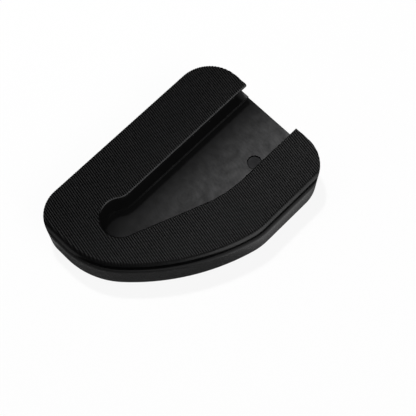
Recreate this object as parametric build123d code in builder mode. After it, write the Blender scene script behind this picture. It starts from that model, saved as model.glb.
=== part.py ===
# Foot enlarger for a motorbike's kickstand: a thick aluminium plate whose T-slot takes the stand's own foot,
# with a set screw in the slot's floor that presses the foot up against the lips.
# The plate lies on its flat underside. +Z is up, +Y runs to the slot's open end, the origin is under the middle.
import os
from math import acos, degrees, radians, sin, sqrt
from build123d import *

# Plate outline: a square left side and rear edge, and a long curved flank from the right side to the front
width = 67.0
length = 94.9
thickness = 15.0
rear_corner = 14.6
front_corner = 12.7
side_length = 39.5
front_length = 28.8
flank_radius = 91.7
side_bend = 25.0
front_bend = 32.0
rim_radius = 3.5

# T-slot: straight lips at the open end, then a flank that narrows it to a round nose
slot_inset = 20.1
slot_width = 26.2
slot_depth = 9.2
slot_side = 37.8
slot_bend = 50.0
nose_radius = 7.7
nose_offset = 4.8
nose_distance = 71.9
nose_blend = 7.0
lip_thickness = 1.6
lip_chamfer = 0.5
undercut = 2.4
ledge_width = 1.5
ledge_height = 0.8

# Ribs: V grooves cut side by side across the top, a little askew, with a narrow land left between them
rib_pitch = 0.87
rib_land = 0.2
rib_depth = 0.3
rib_angle = 10.0

# Set screw, driven from below with a hexagon key
screw_diameter = 6.0
screw_length = 5.0
screw_inset = 3.7
screw_distance = 18.4
screw_recess = 0.5
thread_clearance = 0.05
point_chamfer = 0.5
socket_width = 3.0
socket_depth = 2.5

left = -width / 2
right = width / 2
front = -length / 2
rear = length / 2
slot_left = left + slot_inset
slot_right = slot_left + slot_width
floor = thickness - slot_depth
ledge = floor + ledge_height
screw_place = (slot_right - screw_inset, rear - screw_distance)

# The slot's mouth in plan. It runs out past the rear edge, and its right flank touches the round nose.
nose = Vector(slot_left + nose_offset, rear - nose_distance)
knee = Vector(slot_right, rear - slot_side)
to_knee = knee - nose
touch_angle = degrees(acos(nose_radius / to_knee.length))
touch = nose + to_knee.normalized().rotate(Axis.Z, -touch_angle) * nose_radius
nose_corner = Vector(slot_left, nose.Y + sqrt(nose_radius**2 - nose_offset**2))
with BuildSketch() as mouth:
    with BuildLine():
        Polyline(
            (slot_left, rear + undercut + ledge_width),
            (slot_right, rear + undercut + ledge_width),
            knee,
            touch,
            nose,
            (slot_left, nose.Y),
            close=True,
        )
    make_face()
    with Locations(nose):
        Circle(nose_radius)
    fillet(mouth.vertices().sort_by_distance(knee)[0], slot_bend)
    fillet(mouth.vertices().sort_by_distance(nose_corner)[0], nose_blend)

# The grooves' row, square to the ribs' run across the plate
along = Vector(1, 0, 0).rotate(Axis.Z, -rib_angle)
across = Vector(0, 1, 0).rotate(Axis.Z, -rib_angle)
groove = (rib_pitch - rib_land) / 2
groove_count = int((length + width * sin(radians(rib_angle))) / rib_pitch)

# Plate: a blank whose front, flank and right edges are rounded over on top
with BuildPart() as plate:
    with BuildSketch() as blank:
        with BuildLine():
            Polyline(
                (right, rear - side_length),
                (right, rear + rim_radius),
                (left - rim_radius, rear + rim_radius),
                (left - rim_radius, front),
                (left + front_length, front),
            )
            RadiusArc((left + front_length, front), (right, rear - side_length), -flank_radius)
        make_face()
        fillet(blank.vertices().sort_by_distance((right, rear - side_length))[0], side_bend)
        fillet(blank.vertices().sort_by_distance((left + front_length, front))[0], front_bend)
    extrude(amount=thickness)
    rim = plate.faces().sort_by(Axis.Z)[-1].edges()
    fillet(rim.sort_by(Axis.Y)[:-1].sort_by(Axis.X)[1:], rim_radius)

    # The slot's mouth is cut down to the ledge, and its lips are chamfered
    with BuildSketch(Plane.XY.offset(thickness)):
        add(mouth.sketch_local)
    extrude(amount=ledge - thickness, mode=Mode.SUBTRACT)
    lips = plate.edges(Select.LAST).group_by(Axis.Z)[-1]
    chamfer(lips.filter_by_position(Axis.Y, front, rear, inclusive=(False, False)), lip_chamfer)

    # The left side, the rear edge and the three corners are cut square through it, with sharp upper edges
    with BuildSketch() as square:
        Rectangle(width, length)
        fillet(square.vertices().group_by(Axis.Y)[-1], rear_corner)
        fillet(square.vertices().sort_by_distance((left, front))[0], front_corner)
    extrude(amount=thickness, mode=Mode.INTERSECT)

    # A T-slot cutter widens the slot between the ledge and the lips
    with BuildSketch(Plane.XY.offset(ledge)):
        add(mouth.sketch_local)
        offset(amount=undercut)
    extrude(amount=thickness - lip_thickness - ledge, mode=Mode.SUBTRACT)

    # Inside the ledge the floor is milled a little deeper
    with BuildSketch(Plane.XY.offset(ledge)):
        add(mouth.sketch_local)
        offset(amount=-ledge_width)
    extrude(amount=-ledge_height, mode=Mode.SUBTRACT)

    # Tapped hole for the set screw, right through the floor and the ledge's edge
    with Locations(Location((*screw_place, ledge))):
        Hole(screw_diameter / 2, depth=ledge)

    # The ribs are cut last, straight across the top, and run out into the rounded rim
    with BuildSketch(Plane(origin=(0, 0, thickness), x_dir=across, z_dir=along)):
        with GridLocations(rib_pitch, 0, groove_count, 1):
            Polygon((-groove, 0), (0, -rib_depth), (groove, 0), align=None)
    extrude(amount=length, both=True, mode=Mode.SUBTRACT)

# Set screw, flat point up in the slot and socket down
with BuildPart() as set_screws:
    with Locations(Location((*screw_place, screw_recess))):
        Cylinder(
            screw_diameter / 2 - thread_clearance,
            screw_length,
            align=(Align.CENTER, Align.CENTER, Align.MIN),
        )
    chamfer(set_screws.faces().sort_by(Axis.Z)[-1].edges(), point_chamfer)
    with BuildSketch(Plane.XY.offset(screw_recess)):
        with Locations(screw_place):
            RegularPolygon(socket_width / 2, 6, major_radius=False)
    extrude(amount=socket_depth, mode=Mode.SUBTRACT)

plate.part.label = "plate"
set_screws.part.label = "set_screws"

os.makedirs("parts", exist_ok=True)
export_step(plate.part, "parts/plate.step")
export_step(set_screws.part, "parts/set_screws.step")
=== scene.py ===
import bpy
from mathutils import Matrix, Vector


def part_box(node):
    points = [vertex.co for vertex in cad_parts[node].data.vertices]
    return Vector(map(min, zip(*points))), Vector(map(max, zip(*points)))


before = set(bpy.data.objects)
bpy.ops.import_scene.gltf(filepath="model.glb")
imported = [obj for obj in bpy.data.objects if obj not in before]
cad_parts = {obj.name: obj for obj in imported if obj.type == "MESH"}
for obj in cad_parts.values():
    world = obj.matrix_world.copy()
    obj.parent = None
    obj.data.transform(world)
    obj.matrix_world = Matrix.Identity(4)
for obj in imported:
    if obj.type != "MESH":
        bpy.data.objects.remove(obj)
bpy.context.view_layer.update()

# Plate: one block of aluminium, milled all over and anodised black, with fine ribs cut across its top.
# The rounded rim is deep black, the walls are a little paler, and the ribs' crests are paler than the
# grooves. The slot's floor keeps the cutter's faint arcs. Painted light makes the floor and the ribs paler
# towards the right, painted shade darkens the ledge under the lips, and painted highlights mark the
# ledge's edge, the lips' chamfer and the slot's open end.


def add_node(tree, kind, **options):
    """A new node in the tree, with its options set."""
    node = tree.nodes.new(kind)
    for name, value in options.items():
        setattr(node, name, value)
    return node


def surface_grain():
    """Uneven finish of a metal surface: soft clouds from 0 to 1, and a fine grain for its height."""
    group = bpy.data.node_groups.new("surface_grain", "ShaderNodeTree")
    face = group.interface
    face.new_socket("Vector", in_out="INPUT", socket_type="NodeSocketVector")
    face.new_socket("Cloud Scale", in_out="INPUT", socket_type="NodeSocketFloat")
    face.new_socket("Grain Scale", in_out="INPUT", socket_type="NodeSocketFloat")
    face.new_socket("Cloud", in_out="OUTPUT", socket_type="NodeSocketFloat")
    face.new_socket("Grain", in_out="OUTPUT", socket_type="NodeSocketFloat")
    entry = add_node(group, "NodeGroupInput")
    leave = add_node(group, "NodeGroupOutput")
    cloud = add_node(group, "ShaderNodeTexNoise")
    cloud.inputs["Detail"].default_value = 5.0
    cloud.inputs["Roughness"].default_value = 0.6
    spread = add_node(group, "ShaderNodeMapRange")
    spread.inputs["From Min"].default_value = 0.34
    spread.inputs["From Max"].default_value = 0.66
    grain = add_node(group, "ShaderNodeTexNoise")
    grain.inputs["Detail"].default_value = 3.0
    link = group.links.new
    link(entry.outputs["Vector"], cloud.inputs["Vector"])
    link(entry.outputs["Cloud Scale"], cloud.inputs["Scale"])
    link(cloud.outputs["Fac"], spread.inputs["Value"])
    link(spread.outputs["Result"], leave.inputs["Cloud"])
    link(entry.outputs["Vector"], grain.inputs["Vector"])
    link(entry.outputs["Grain Scale"], grain.inputs["Scale"])
    link(grain.outputs["Fac"], leave.inputs["Grain"])
    return group


def maths(tree, operation, one, other):
    """The outcome of an operation on two values, each a number or another node's output."""
    node = add_node(tree, "ShaderNodeMath", operation=operation)
    for socket, value in ((node.inputs[0], one), (node.inputs[1], other)):
        if isinstance(value, float):
            socket.default_value = value
        else:
            tree.links.new(value, socket)
    return node.outputs["Value"]


def ramp(tree, value, start, end, low=0.0, high=1.0):
    """Low where the value is at start, high where it is at end, and in proportion between them."""
    node = add_node(tree, "ShaderNodeMapRange")
    node.inputs["From Min"].default_value = start
    node.inputs["From Max"].default_value = end
    node.inputs["To Min"].default_value = low
    node.inputs["To Max"].default_value = high
    tree.links.new(value, node.inputs["Value"])
    return node.outputs["Result"]


def colour_mix(tree, factor, first, second):
    """The first colour where the factor is 0, and the second where it is 1."""
    node = add_node(tree, "ShaderNodeMix", data_type="RGBA")
    tree.links.new(factor, node.inputs["Factor"])
    for socket, colour in ((node.inputs["A"], first), (node.inputs["B"], second)):
        if isinstance(colour, tuple):
            socket.default_value = colour
        else:
            tree.links.new(colour, socket)
    return node.outputs["Result"]


anodised = bpy.data.materials.new("black_anodised")
anodised.use_nodes = True
tree = anodised.node_tree
link = tree.links.new
shader = tree.nodes["Principled BSDF"]
shader.inputs["Specular IOR Level"].default_value = 0.3
where = add_node(tree, "ShaderNodeTexCoord")
place = add_node(tree, "ShaderNodeSeparateXYZ")
link(where.outputs["Object"], place.inputs["Vector"])
shape = add_node(tree, "ShaderNodeNewGeometry")
facing = add_node(tree, "ShaderNodeSeparateXYZ")
link(shape.outputs["Normal"], facing.inputs["Vector"])
grain_group = surface_grain()
grain = add_node(tree, "ShaderNodeGroup", node_tree=grain_group)
grain.inputs["Cloud Scale"].default_value = 300.0
grain.inputs["Grain Scale"].default_value = 2600.0
link(where.outputs["Object"], grain.inputs["Vector"])
cloud = grain.outputs["Cloud"]

# Where the slot's floor, the ledge along it, the walls, the ribs and their crests are, by height and facing
slot_depth = 0.0092
ledge_rise = 0.0008
floor_layer = 0.0022
rib_layer = 0.0006
crest_layer = 0.00005
level_facing = 0.9
wall_facing = 0.1
plate_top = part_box("plate")[1].z
slot_floor = plate_top - slot_depth
low = maths(tree, "LESS_THAN", place.outputs["Z"], slot_floor + floor_layer)
level = maths(tree, "GREATER_THAN", facing.outputs["Z"], level_facing)
on_floor = maths(tree, "MULTIPLY", low, level)
on_walls = maths(tree, "LESS_THAN", facing.outputs["Z"], wall_facing)
on_ledge = maths(tree, "GREATER_THAN", place.outputs["Z"], slot_floor + ledge_rise / 2)
on_ribs = maths(tree, "GREATER_THAN", place.outputs["Z"], plate_top - rib_layer)
on_crests = maths(tree, "GREATER_THAN", place.outputs["Z"], plate_top - crest_layer)

# The cutter left arcs on the floor and hands have smudged them; painted light makes it paler to the right
floor_light_start = -0.0116
floor_light_end = 0.0115
floor_light_curve = 1.35
smudge_least = 0.52
smudge_most = 1.04
arc_least = 0.95
arc_most = 1.05
arcs = add_node(tree, "ShaderNodeTexWave", wave_type="RINGS", rings_direction="Z")
arcs.inputs["Scale"].default_value = 220.0
arcs.inputs["Distortion"].default_value = 6.0
arcs.inputs["Detail"].default_value = 2.0
arcs.inputs["Detail Scale"].default_value = 1.5
link(where.outputs["Object"], arcs.inputs["Vector"])
floor_painted_light = maths(tree, "POWER", ramp(tree, place.outputs["X"], floor_light_start, floor_light_end), floor_light_curve)
smudged_floor_light = maths(tree, "MULTIPLY", floor_painted_light, ramp(tree, cloud, 0.0, 1.0, smudge_least, smudge_most))
cut_marks = ramp(tree, arcs.outputs["Fac"], 0.0, 1.0, arc_least, arc_most)
floor_tone = maths(tree, "MULTIPLY", smudged_floor_light, cut_marks)

# A highlight is painted along the ledge's sharp edge, past the slot's nose
edge_flat = 0.995
edge_sharp = 0.90
edge_highlight = 0.85
nose_end = -0.018
ledge_clear = -0.004
softened = add_node(tree, "ShaderNodeBevel", samples=12)
softened.inputs["Radius"].default_value = 0.0004
turn = add_node(tree, "ShaderNodeVectorMath", operation="DOT_PRODUCT")
link(softened.outputs["Normal"], turn.inputs[0])
link(shape.outputs["Normal"], turn.inputs[1])
sharp = ramp(tree, turn.outputs["Value"], edge_flat, edge_sharp, 0.0, edge_highlight)
past_nose = ramp(tree, place.outputs["Y"], nose_end, ledge_clear)
ledge_line = maths(tree, "MULTIPLY", maths(tree, "MULTIPLY", sharp, low), past_nose)

# A highlight is painted on the lips' chamfer too, where that faces the front and the right
chamfer_facing = 0.7071
chamfer_spread = 0.015
turned_little = 0.2
turned_full = 0.65
chamfer = add_node(tree, "ShaderNodeMath", operation="COMPARE")
chamfer.inputs[1].default_value = chamfer_facing
chamfer.inputs[2].default_value = chamfer_spread
link(facing.outputs["Z"], chamfer.inputs[0])
lips = maths(tree, "MULTIPLY", chamfer.outputs["Value"], on_ribs)
to_front_right = maths(tree, "SUBTRACT", facing.outputs["X"], facing.outputs["Y"])
lip_line = maths(tree, "MULTIPLY", lips, ramp(tree, to_front_right, turned_little, turned_full))

# A patch of painted light lies on the ledge's open end too, at the rear
entry_start = 0.0440
entry_end = 0.0465
near_rear = ramp(tree, place.outputs["Y"], entry_start, entry_end)
open_end = maths(tree, "MULTIPLY", near_rear, maths(tree, "MULTIPLY", on_floor, on_ledge))
painted_highlights = maths(tree, "MAXIMUM", maths(tree, "MAXIMUM", ledge_line, lip_line), open_end)

# Colours: each surface has its own black; the ledge's is painted shade, and painted light makes the ribs
# and the floor paler to the right
rim_black = (0.0010, 0.0010, 0.0011, 1)
wall_dark = (0.010, 0.010, 0.0103, 1)
wall_pale = (0.019, 0.019, 0.0194, 1)
groove_black = (0.0006, 0.0006, 0.0007, 1)
groove_pale = (0.0040, 0.0040, 0.0041, 1)
crest_dark = (0.016, 0.016, 0.0163, 1)
crest_pale = (0.031, 0.031, 0.0314, 1)
# The ledge under the lips gets painted shade
ledge_painted_shade = (0.0035, 0.0035, 0.0037, 1)
floor_dark = (0.006, 0.006, 0.0062, 1)
# The floor's paler tone is painted light, reached at the right lip
floor_painted_lit = (0.088, 0.088, 0.089, 1)
# The tone of the painted highlights on the ledge, the lips and the slot's open end
painted_highlight = (0.060, 0.060, 0.061, 1)
# Painted light makes the ribs paler towards the right
dark_side = -0.025
pale_side = 0.020
rib_painted_light = ramp(tree, place.outputs["X"], dark_side, pale_side)
crests = colour_mix(tree, rib_painted_light, crest_dark, crest_pale)
grooves = colour_mix(tree, rib_painted_light, groove_black, groove_pale)
ribs = colour_mix(tree, on_crests, grooves, crests)
walls = colour_mix(tree, cloud, wall_dark, wall_pale)
colour = colour_mix(tree, on_walls, rim_black, walls)
colour = colour_mix(tree, on_ribs, colour, ribs)
floor_colour = colour_mix(tree, floor_tone, floor_dark, floor_painted_lit)
floor_colour = colour_mix(tree, on_ledge, floor_colour, ledge_painted_shade)
colour = colour_mix(tree, on_floor, colour, floor_colour)
colour = colour_mix(tree, painted_highlights, colour, painted_highlight)
link(colour, shader.inputs["Base Color"])

# Gloss: satin all over, duller on the ribs and dull on the slot's floor, with a fine grain
satin_least = 0.17
satin_most = 0.23
rib_dulling = 0.10
floor_dulling = 0.35
satin = ramp(tree, cloud, 0.0, 1.0, satin_least, satin_most)
ribbed = maths(tree, "ADD", satin, maths(tree, "MULTIPLY", on_ribs, rib_dulling))
roughness = maths(tree, "ADD", ribbed, maths(tree, "MULTIPLY", on_floor, floor_dulling))
link(roughness, shader.inputs["Roughness"])
bump = add_node(tree, "ShaderNodeBump")
bump.inputs["Strength"].default_value = 0.15
bump.inputs["Distance"].default_value = 0.00002
link(grain.outputs["Grain"], bump.inputs["Height"])
link(bump.outputs["Normal"], shader.inputs["Normal"])

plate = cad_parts["plate"]
plate.data.materials.clear()
plate.data.materials.append(anodised)

# Set screw: turned and threaded steel, blacked in hot oxide, with a hexagon socket in its lower end.
# It is screwed up from below, and its flat point stops just under the slot's floor.
oxide_dark = (0.022, 0.022, 0.023, 1)
oxide_light = (0.036, 0.036, 0.037, 1)
oxide_smooth = 0.38
oxide_rough = 0.52

black_oxide = bpy.data.materials.new("black_oxide_steel")
black_oxide.use_nodes = True
tree = black_oxide.node_tree
link = tree.links.new
shader = tree.nodes["Principled BSDF"]
shader.inputs["Specular IOR Level"].default_value = 0.3
where = add_node(tree, "ShaderNodeTexCoord")
grain = add_node(tree, "ShaderNodeGroup", node_tree=grain_group)
grain.inputs["Cloud Scale"].default_value = 400.0
grain.inputs["Grain Scale"].default_value = 4000.0
link(where.outputs["Object"], grain.inputs["Vector"])
link(colour_mix(tree, grain.outputs["Cloud"], oxide_dark, oxide_light), shader.inputs["Base Color"])
roughness = ramp(tree, grain.outputs["Grain"], 0.0, 1.0, oxide_smooth, oxide_rough)
link(roughness, shader.inputs["Roughness"])

set_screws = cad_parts["set_screws"]
set_screws.data.materials.clear()
set_screws.data.materials.append(black_oxide)

# Studio: a white paper sweep that the plate lies on, a small key lamp high at the left, and soft boxes all
# round that show as sheen on the ribs and along the rim. The sweep keeps the plate's shadow, and it is dim
# in reflections, but for a pool of painted light at its right. It is see-through from below, so the
# underside shows.
sweep_size = 8.0
sweep_gap = 0.0001
paper_white = (0.85, 0.85, 0.85, 1)
paper_dim = (0.15, 0.15, 0.15, 1)
white_shown = 0.90
white_reflected = 0.03
white_lit = 0.45
lit_start = 0.026
lit_end = 0.038
lit_curve = 4.0
sheen_reach = 0.0003
light_reach = 0.001

bpy.ops.mesh.primitive_plane_add(size=sweep_size, location=(0, 0, -sweep_gap))
sweep = bpy.context.object
sweep.name = "sweep"
paper = bpy.data.materials.new("white_paper")
paper.use_nodes = True
tree = paper.node_tree
link = tree.links.new
tree.nodes.clear()
out = add_node(tree, "ShaderNodeOutputMaterial")
matt = add_node(tree, "ShaderNodeBsdfDiffuse")
white = add_node(tree, "ShaderNodeEmission")
path = add_node(tree, "ShaderNodeLightPath")
reflected = maths(tree, "MAXIMUM", path.outputs["Is Glossy Ray"], path.outputs["Is Transmission Ray"])
link(colour_mix(tree, reflected, paper_white, paper_dim), matt.inputs["Color"])
shown = maths(tree, "MULTIPLY", path.outputs["Is Camera Ray"], white_shown)
where = add_node(tree, "ShaderNodeTexCoord")
place = add_node(tree, "ShaderNodeSeparateXYZ")
link(where.outputs["Object"], place.inputs["Vector"])
# A pool of painted light: reflections see the sweep brighter towards its right
lit_right = maths(tree, "POWER", ramp(tree, place.outputs["X"], lit_start, lit_end), lit_curve)
mirrored = ramp(tree, lit_right, 0.0, 1.0, white_reflected, white_lit)
share = maths(tree, "ADD", shown, maths(tree, "MULTIPLY", reflected, mirrored))
mixed = add_node(tree, "ShaderNodeMixShader")
link(share, mixed.inputs["Fac"])
link(matt.outputs["BSDF"], mixed.inputs[1])
link(white.outputs["Emission"], mixed.inputs[2])
side = add_node(tree, "ShaderNodeNewGeometry")
reach = ramp(tree, path.outputs["Is Diffuse Ray"], 0.0, 1.0, sheen_reach, light_reach)
close_by = maths(tree, "LESS_THAN", path.outputs["Ray Length"], reach)
seen_through = maths(tree, "MAXIMUM", side.outputs["Backfacing"], close_by)
clear = add_node(tree, "ShaderNodeBsdfTransparent")
one_sided = add_node(tree, "ShaderNodeMixShader")
link(seen_through, one_sided.inputs["Fac"])
link(mixed.outputs["Shader"], one_sided.inputs[1])
link(clear.outputs["BSDF"], one_sided.inputs[2])
link(one_sided.outputs["Shader"], out.inputs["Surface"])
sweep.data.materials.append(paper)


def soft_lamp(name, place, size, power):
    """A square lamp that faces the plate: its place and size in metres, its power in watts."""
    data = bpy.data.lights.new(name, "AREA")
    data.size = size
    data.energy = power
    lamp = bpy.data.objects.new(name, data)
    lamp.location = place
    lamp.rotation_euler = (-Vector(place)).to_track_quat("-Z", "Y").to_euler()
    bpy.context.scene.collection.objects.link(lamp)
    return lamp


# The key lamp casts the shadow under the left lip, and isn't mirrored in the black
key = soft_lamp("key", place=(-0.41, 0.18, 0.90), size=0.06, power=8.5)
key.visible_glossy = False
soft_lamp("right_box", place=(0.69, 0.10, 0.70), size=0.65, power=3.5)
soft_lamp("left_box", place=(-0.58, -0.21, 0.79), size=0.40, power=0.8)
soft_lamp("front_card", place=(-0.33, -0.90, 0.29), size=0.55, power=0.6)
soft_lamp("rear_box", place=(-0.66, 0.66, 0.34), size=0.50, power=0.35)

# The room is dim, dimmer still overhead, and bright below. The camera sees it as a plain white backdrop.
room_level = 0.0
room_overhead = 0.7
level_glow = 0.035
overhead_glow = 0.006
below_start = -0.05
below_full = -0.30
below_glow = 0.9
backdrop_shown = 0.92
world = bpy.data.worlds.new("studio")
bpy.context.scene.world = world
world.use_nodes = True
tree = world.node_tree
link = tree.links.new
backdrop = tree.nodes["Background"]
backdrop.inputs["Color"].default_value = (1, 1, 1, 1)
sky = add_node(tree, "ShaderNodeTexCoord")
height = add_node(tree, "ShaderNodeSeparateXYZ")
link(sky.outputs["Generated"], height.inputs["Vector"])
path = add_node(tree, "ShaderNodeLightPath")
dim_room = ramp(tree, height.outputs["Z"], room_level, room_overhead, level_glow, overhead_glow)
below = ramp(tree, height.outputs["Z"], below_start, below_full, 0.0, below_glow)
shown = maths(tree, "MULTIPLY", path.outputs["Is Camera Ray"], backdrop_shown)
light = maths(tree, "MAXIMUM", dim_room, below)
link(maths(tree, "MAXIMUM", light, shown), backdrop.inputs["Strength"])

# Camera: the photograph's own view, from high above the front right.
# It stands less than half a metre off, so the plate's near end looks a little larger.
camera_place = Vector((0.10033, -0.08853, 0.36237))
camera_aim = Vector((0.00798, 0.00465, 0.0))
camera_data = bpy.data.cameras.new("camera")
camera_data.sensor_width = 36.0
camera_data.lens = 86.40
camera = bpy.data.objects.new("camera", camera_data)
camera.location = camera_place
camera.rotation_euler = (camera_aim - camera_place).to_track_quat("-Z", "Y").to_euler()
bpy.context.scene.collection.objects.link(camera)
bpy.context.scene.camera = camera
bpy.context.scene.view_settings.view_transform = "Standard"
